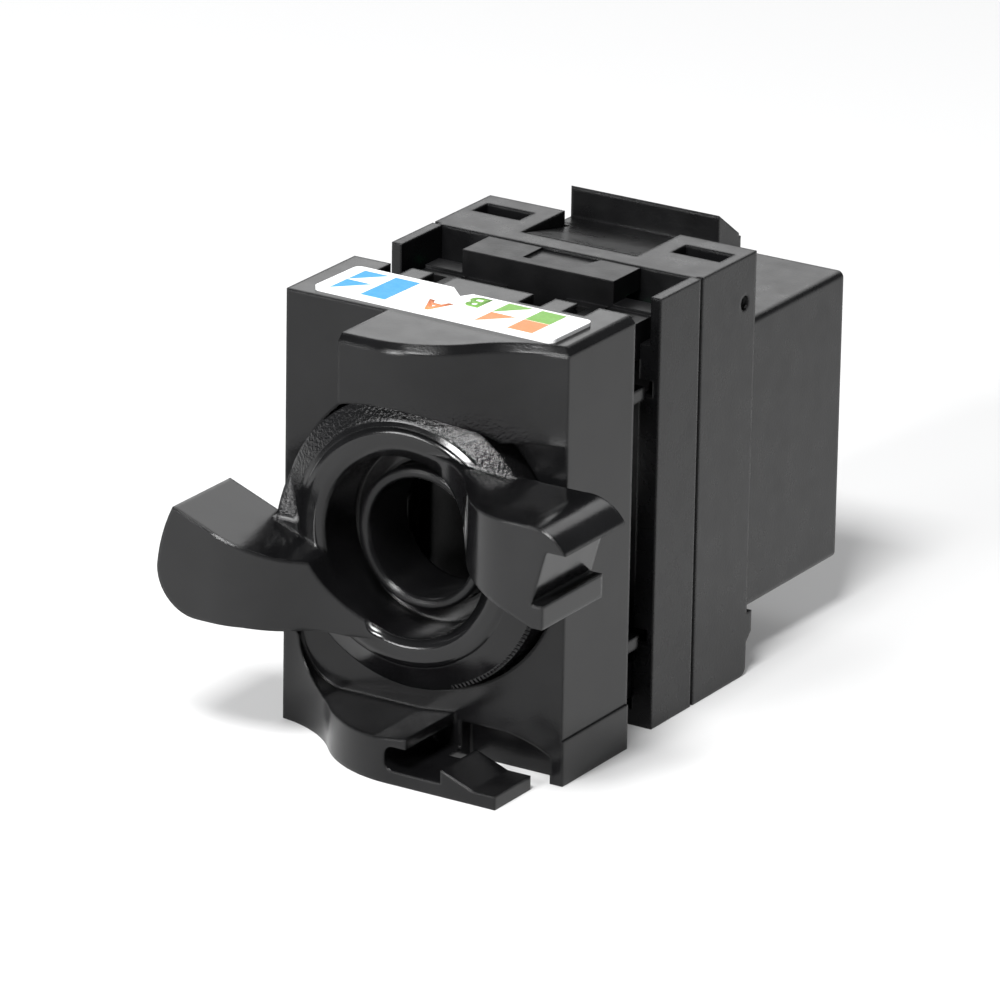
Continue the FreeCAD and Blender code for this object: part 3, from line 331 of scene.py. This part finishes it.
def collar_texture(tree, normal):
    """The lever's ring with rounded lip and mouth, its spark-eroded collar, and ribs at the lower right."""
    radius, along, angle = round_axis(tree)
    lip = round_off(tree, spread(tree, radius, 0, 1, *LIP_RADII), LIP_DEPTH, normal)
    mouth = round_off(tree, spread(tree, radius, 1, 0, *MOUTH_RADII), MOUTH_DEPTH, lip)
    ring = spread(tree, along, 1, 0, *heights(RING_TOP))
    normal = blended(tree, ring, normal, mouth)
    collar = product(tree, between(tree, radius, *COLLAR_RADII, 0.15),
                     between(tree, angle, *COLLAR_ANGLES, 0.1),
                     between(tree, along, *heights(COLLAR_HEIGHTS), 0.1))
    wall = product(tree, between(tree, radius, *RIB_RADII, 0.1), between(tree, angle, *RIB_ANGLES, 0.02))
    ridge = calculate(tree, "SINE", product(tree, angle, RIBS_PER_TURN))
    ribbed = bump(tree, product(tree, ridge, wall), RIB_DEPTH, normal)
    return spark_texture(tree, collar, COLLAR_DEPTH, ribbed)


def undercut_texture(tree, normal):
    """The cap's spark-eroded undercut round the lever, at the camera's upper right."""
    radius, along, angle = round_axis(tree)
    zone = product(tree, between(tree, radius, *UNDERCUT_RADII, 1.2),
                   between(tree, angle, *UNDERCUT_ANGLES, 0.3),
                   spread(tree, along, 0, 1, *heights(UNDERCUT_HEIGHTS)))
    return spark_texture(tree, zone, UNDERCUT_DEPTH, normal)


def moulded_plastic(name, roughness, specular, edge, grain, extra=None):
    """Black moulded plastic: rounded edges, slow changes of gloss and grain of that depth, in millimetres."""
    material, tree, shader = new_material(name)
    tone = spread(tree, noise(tree, 2.5), 0.75, 1.3)
    feed(tree, shader.inputs["Base Color"], tinted(tree, BLACK, tone))
    shader.inputs["Specular IOR Level"].default_value = specular
    gloss = spread(tree, noise(tree, 1.3, 5), roughness - 0.05, roughness + 0.05)
    feed(tree, shader.inputs["Roughness"], gloss)
    normal = rounded_edges(tree, edge)
    if extra:
        normal = extra(tree, normal)
    waviness = bump(tree, noise(tree, 4, 1), 0.02, normal)
    feed(tree, shader.inputs["Normal"], bump(tree, noise(tree, 0.12, 2), grain, waviness))
    return material


def stamped_metal(name, colour, roughness):
    """Plated strip: its colour drifts a little and rolling marks run along Y."""
    material, tree, shader = new_material(name)
    shader.inputs["Metallic"].default_value = 1
    feed(tree, shader.inputs["Base Color"], tinted(tree, colour, spread(tree, noise(tree, 0.8), 0.8, 1.05)))
    marks = noise(tree, 0.08, 3, (1, 0.15, 1))
    feed(tree, shader.inputs["Roughness"], spread(tree, marks, roughness - 0.08, roughness + 0.1))
    feed(tree, shader.inputs["Normal"], bump(tree, marks, 0.004, rounded_edges(tree, 0.04)))
    return material


def solder_mask(name):
    """Green lacquer over wavy copper tracks about a millimetre apart."""
    material, tree, shader = new_material(name)
    track = tree.nodes.new("ShaderNodeTexWave")
    track.inputs["Scale"].default_value = 0.3 / MM
    track.inputs["Distortion"].default_value = 1.5
    place = tree.nodes.new("ShaderNodeTexCoord")
    tree.links.new(place.outputs["Object"], track.inputs["Vector"])
    copper = spread(tree, track.outputs["Fac"], 0.7, 1.3, 0.45, 0.55)
    feed(tree, shader.inputs["Base Color"], tinted(tree, BOARD_GREEN, copper))
    feed(tree, shader.inputs["Roughness"], spread(tree, noise(tree, 0.6), 0.2, 0.35))
    feed(tree, shader.inputs["Normal"], bump(tree, copper, 0.02))
    return material


def printed_film(name, colour, mottle):
    """Coated label film, or ink on it: satin, with a faint mottle."""
    material, tree, shader = new_material(name)
    tone = spread(tree, noise(tree, 0.12, 4), 1 - mottle, 1)
    feed(tree, shader.inputs["Base Color"], tinted(tree, colour, tone))
    feed(tree, shader.inputs["Roughness"], spread(tree, noise(tree, 0.5), 0.35, 0.45))
    shader.inputs["Specular IOR Level"].default_value = 0.2
    feed(tree, shader.inputs["Normal"], bump(tree, noise(tree, 1.5), 0.01))
    return material


def dress(names, material):
    """Gives CAD nodes one material."""
    for name in names:
        mesh = nodes[name].data
        mesh.materials.clear()
        mesh.materials.append(material)


def names_with(start):
    return sorted(name for name in nodes if name.startswith(start))


# ---------------------------------------------------------------------------------------------
# The printed label
# ---------------------------------------------------------------------------------------------

LABEL_SKEW = -1.5          # degrees, the label is stuck on slightly askew
LABEL_LEFT = 7.2           # edges of the film
LABEL_RIGHT = -7.3
LABEL_NEAR = 15.42         # edge towards the cable
LABEL_FAR_LEFT = 11.35
LABEL_FAR_RIGHT = 11.6
LABEL_NOTCH = [(-0.1, 11.7), (0.25, 12.35), (1.3, LABEL_FAR_LEFT)]
LABEL_ROUND = 0.4
ARC_STEPS = 6

INK_THICKNESS = 0.012
ROW_FAR = (11.85, 13.42)   # rows of print, along Y
ROW_NEAR = (13.48, 15.05)
CELL_WIDTH = 1.48
BLUE_SPLIT, BLUE_SOLID = 6.4, 4.5        # left edges of the cells
PAIR_SPLIT, PAIR_SOLID = -2.4, -4.38
LETTER_HEIGHT = 1.45
LETTER_BOLDNESS = 0.03
LETTER_B = (-0.95, 12.65)  # middles of the letters
LETTER_A = (0.5, 14.35)


def corner_arc(before, corner, after, radius):
    """Points of the arc that rounds a corner of a right-angled outline."""
    towards = [(Vector(other) - Vector(corner)).normalized() for other in (before, after)]
    middle = Vector(corner) + (towards[0] + towards[1]) * radius
    return [middle - radius * (towards[1] * math.cos(turn) + towards[0] * math.sin(turn))
            for turn in (math.pi / 2 * step / ARC_STEPS for step in range(ARC_STEPS + 1))]


def film_outline():
    """Outline of the label, with four rounded corners and the notch in its far edge."""
    corners = [(LABEL_LEFT, LABEL_FAR_LEFT), (LABEL_LEFT, LABEL_NEAR), (LABEL_RIGHT, LABEL_NEAR),
               (LABEL_RIGHT, LABEL_FAR_RIGHT)]
    beyond = [(LABEL_RIGHT, LABEL_FAR_LEFT), *corners, (LABEL_LEFT, LABEL_FAR_RIGHT)]
    outline = []
    for before, corner, after in zip(beyond, corners, beyond[2:]):
        outline += corner_arc(before, corner, after, LABEL_ROUND)
    return outline + [Vector(point) for point in LABEL_NOTCH]


def solid_cell(left, *rows):
    """A printed box that spans the rows."""
    return [(left, rows[0][0]), (left - CELL_WIDTH, rows[0][0]),
            (left - CELL_WIDTH, rows[-1][1]), (left, rows[-1][1])]


def split_cell(left, row):
    """The printed half of a box that is split from corner to corner."""
    return [(left, row[0]), (left - CELL_WIDTH, row[0]), (left, row[1])]


def letter_mesh(letter, middle):
    """The letter as flat faces, with its top towards the cable."""
    curve = bpy.data.curves.new("letter", "FONT")
    curve.body = letter
    curve.offset = LETTER_BOLDNESS
    typed = link_object("letter", curve)
    mesh = bpy.data.meshes.new_from_object(typed.evaluated_get(bpy.context.evaluated_depsgraph_get()))
    bpy.data.objects.remove(typed)
    spots = [vertex.co.copy() for vertex in mesh.vertices]
    low = Vector([min(spot[axis] for spot in spots) for axis in range(3)])
    high = Vector([max(spot[axis] for spot in spots) for axis in range(3)])
    size = LETTER_HEIGHT / (high.y - low.y)
    for vertex in mesh.vertices:
        vertex.co = (vertex.co - (low + high) / 2) * size + Vector((*middle, 0))
    return mesh


def flat_piece(name, outlines, low, thickness, material, letters=()):
    """Flat shapes of that thickness, from height low upwards, turned with the label. They ride on the cap."""
    shape = bmesh.new()
    for outline in outlines:
        shape.faces.new([shape.verts.new((x, y, 0)) for x, y in outline])
    for mesh in letters:
        shape.from_mesh(mesh)
    raised = bmesh.ops.extrude_face_region(shape, geom=shape.faces[:])["geom"]
    bmesh.ops.translate(shape, vec=(0, 0, thickness),
                        verts=[part for part in raised if isinstance(part, bmesh.types.BMVert)])
    bmesh.ops.recalc_face_normals(shape, faces=shape.faces[:])
    middle = Vector((0, (LABEL_NEAR + LABEL_FAR_LEFT) / 2, 0))
    turn = Matrix.Rotation(math.radians(LABEL_SKEW), 4, "Z")
    place = Matrix.Translation(middle + Vector((0, 0, low))) @ turn @ Matrix.Translation(-middle)
    bmesh.ops.transform(shape, matrix=Matrix.Scale(MM, 4) @ place, verts=shape.verts[:])
    mesh = bpy.data.meshes.new(name)
    shape.to_mesh(mesh)
    shape.free()
    mesh.materials.append(material)
    piece = link_object(name, mesh)
    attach(piece, "cap")
    return piece


def make_label():
    film = flat_piece("label_film", [film_outline()], LABEL_LOW.z, LABEL_HIGH.z - LABEL_LOW.z,
                      printed_film("label_film", FILM_WHITE, 0.03))
    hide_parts("wiring_label")
    top = LABEL_HIGH.z
    flat_piece("label_print_blue",
               [split_cell(BLUE_SPLIT, ROW_FAR), split_cell(BLUE_SPLIT, ROW_NEAR),
                solid_cell(BLUE_SOLID, ROW_FAR, ROW_NEAR)],
               top, INK_THICKNESS, printed_film("blue_ink", PRINT_BLUE, 0.15))
    flat_piece("label_print_green", [split_cell(PAIR_SPLIT, ROW_FAR), solid_cell(PAIR_SOLID, ROW_FAR)],
               top, INK_THICKNESS, printed_film("green_ink", PRINT_GREEN, 0.2),
               [letter_mesh("B", LETTER_B)])
    flat_piece("label_print_orange", [split_cell(PAIR_SPLIT, ROW_NEAR), solid_cell(PAIR_SOLID, ROW_NEAR)],
               top, INK_THICKNESS, printed_film("orange_ink", PRINT_ORANGE, 0.15),
               [letter_mesh("A", LETTER_A)])


# ---------------------------------------------------------------------------------------------
# The scene
# ---------------------------------------------------------------------------------------------

make_camera()
make_floor()
make_light()

cap_plastic = moulded_plastic("cap_plastic", roughness=0.2, specular=0.3, edge=0.25, grain=0.004,
                              extra=undercut_texture)
lever_plastic = moulded_plastic("lever_plastic", roughness=0.16, specular=0.42, edge=0.3, grain=0.003,
                                extra=collar_texture)
nose_plastic = moulded_plastic("nose_plastic", roughness=0.3, specular=0.33, edge=0.25, grain=0.006)
shell_plastic = moulded_plastic("shell_plastic", roughness=0.27, specular=0.28, edge=0.2, grain=0.006)
insert_plastic = moulded_plastic("insert_plastic", roughness=0.33, specular=0.26, edge=0.1, grain=0.008)
dress(["wire_cap"], cap_plastic)
dress(["lever"], lever_plastic)
dress(["nose_housing", "latch_arm"], nose_plastic)
dress(["rear_shell"], shell_plastic)
dress(["terminal_block", "contact_carrier"], insert_plastic)
dress(["circuit_board"], solder_mask("board_mask"))
dress(names_with("cutting_contact"), stamped_metal("tinned_bronze", TIN, roughness=0.3))
dress(names_with("spring_contact"), stamped_metal("gold", GOLD, roughness=0.2))
make_label()
